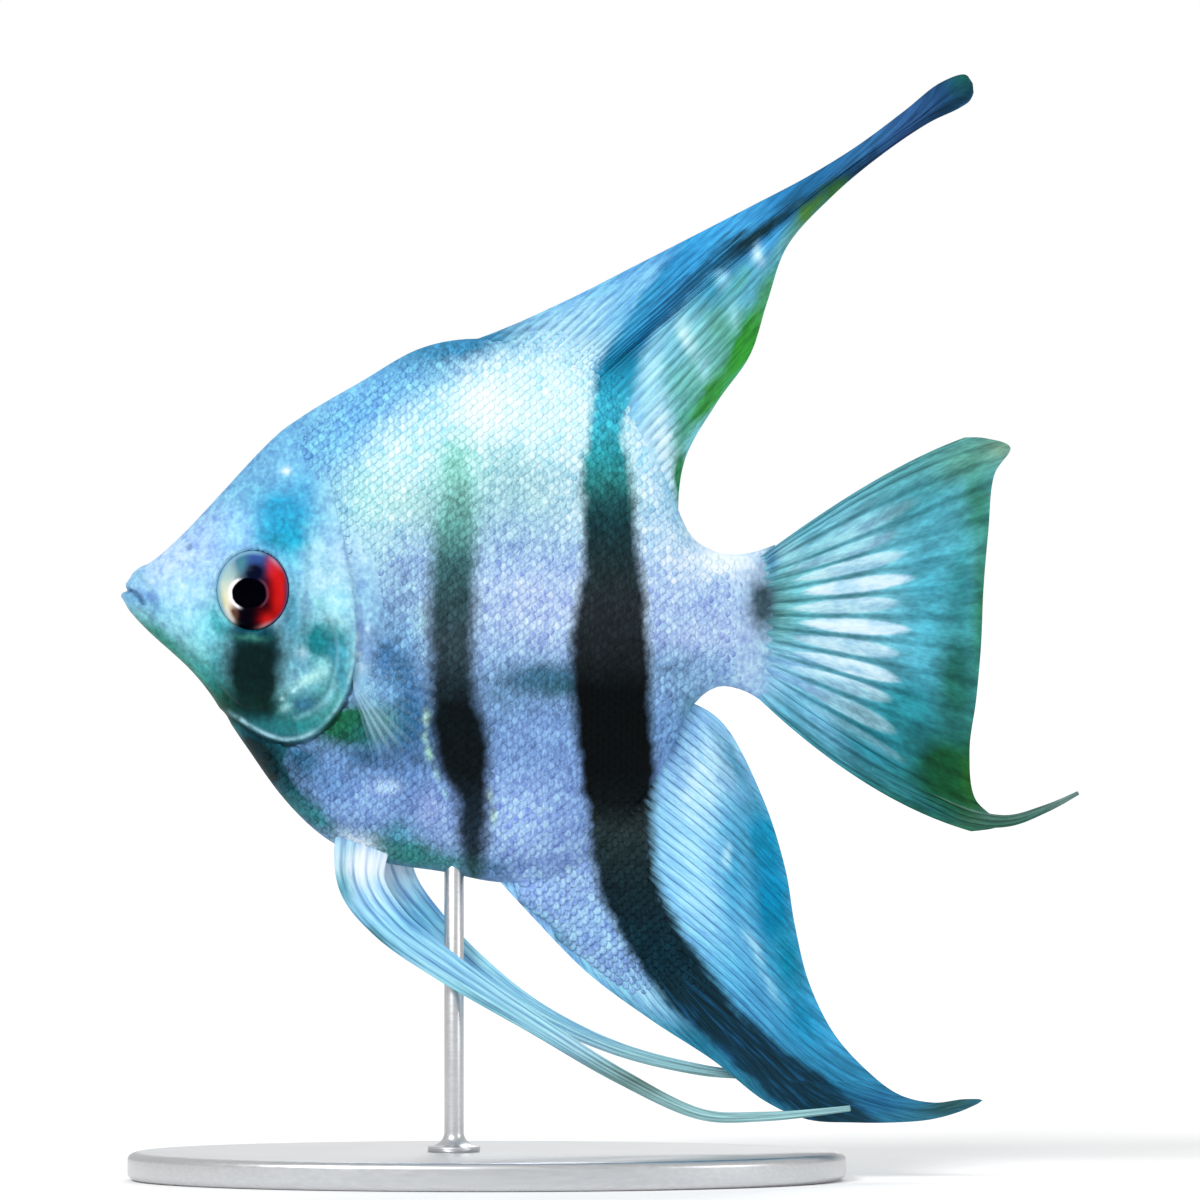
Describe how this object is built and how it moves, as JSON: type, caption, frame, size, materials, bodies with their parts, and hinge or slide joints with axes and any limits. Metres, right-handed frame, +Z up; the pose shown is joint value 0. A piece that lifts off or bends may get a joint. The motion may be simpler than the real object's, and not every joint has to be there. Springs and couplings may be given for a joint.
{
  "type": "freshwater angelfish display model",
  "caption": "Life-size freshwater angelfish with dark upright bars, long trailing fins and a red eye, held by one rod on an oval base.",
  "frame": {"origin": "middle of the model's outline, on the surface that the base stands on", "axes": "+Z up, +X towards the tail, -X towards the snout, -Y the fish's left side"},
  "size_m": [0.1176, 0.054, 0.1354],
  "materials": {
    "skin": "satin wet-looking fish skin and scales, silver blue with black bars",
    "fin": "satin, rayed teal and blue fin membrane",
    "clear_fin": "thin see-through fin membrane with pale rays",
    "eye": "glossy eye, black pupil in a red and gold iris",
    "stand": "satin"
  },
  "bodies": {
    "root": {"head": "skin", "lower_jaw": "skin", "gill_cover_left": "skin", "gill_cover_right": "skin", "trunk": "skin", "tail_stem": "skin", "dorsal_fin": "fin", "anal_fin": "fin", "tail_fin": "fin", "pelvic_fin_left": "fin", "pelvic_fin_right": "fin", "pectoral_fin_left": "clear_fin", "pectoral_fin_right": "clear_fin", "eye_left": "eye", "eye_right": "eye", "stand_base": "stand", "stand_rod": "stand"}
  },
  "joints": []
}
